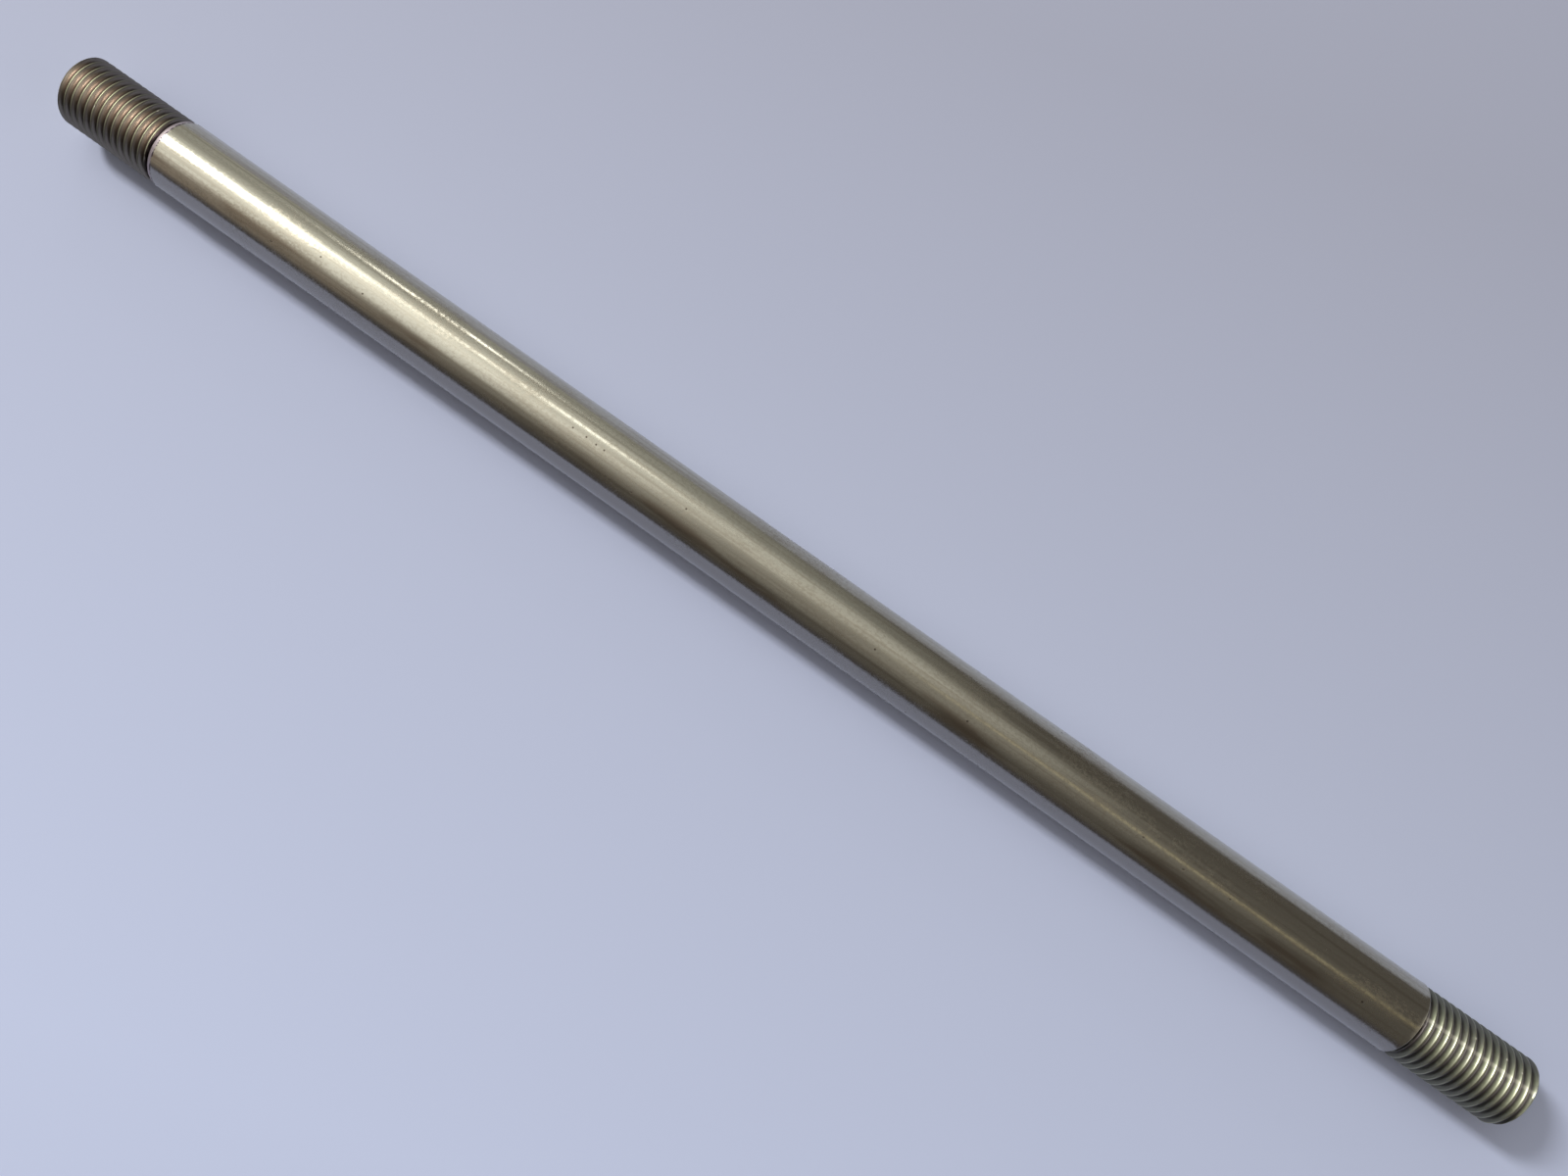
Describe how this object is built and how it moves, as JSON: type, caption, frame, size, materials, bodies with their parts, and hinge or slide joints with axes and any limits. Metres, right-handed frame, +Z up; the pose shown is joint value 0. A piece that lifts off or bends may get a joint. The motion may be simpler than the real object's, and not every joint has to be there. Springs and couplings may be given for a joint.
{
  "type": "double-ended stud",
  "caption": "Long straight steel stud with a plain ground shank and a fine external thread at both ends.",
  "frame": {"origin": "middle of the stud's axis, halfway between its two tips", "axes": "+X along the stud's axis towards the thread that starts closer to its shoulder (the right thread); +Z up and +Y across it, as the stud lies"},
  "size_m": [0.214, 0.0094, 0.0096],
  "materials": {
    "steel": "ground and polished shank with fine lengthwise lines and small pits, machined threads, satin"
  },
  "bodies": {
    "root": {"stud": "steel"}
  },
  "joints": []
}
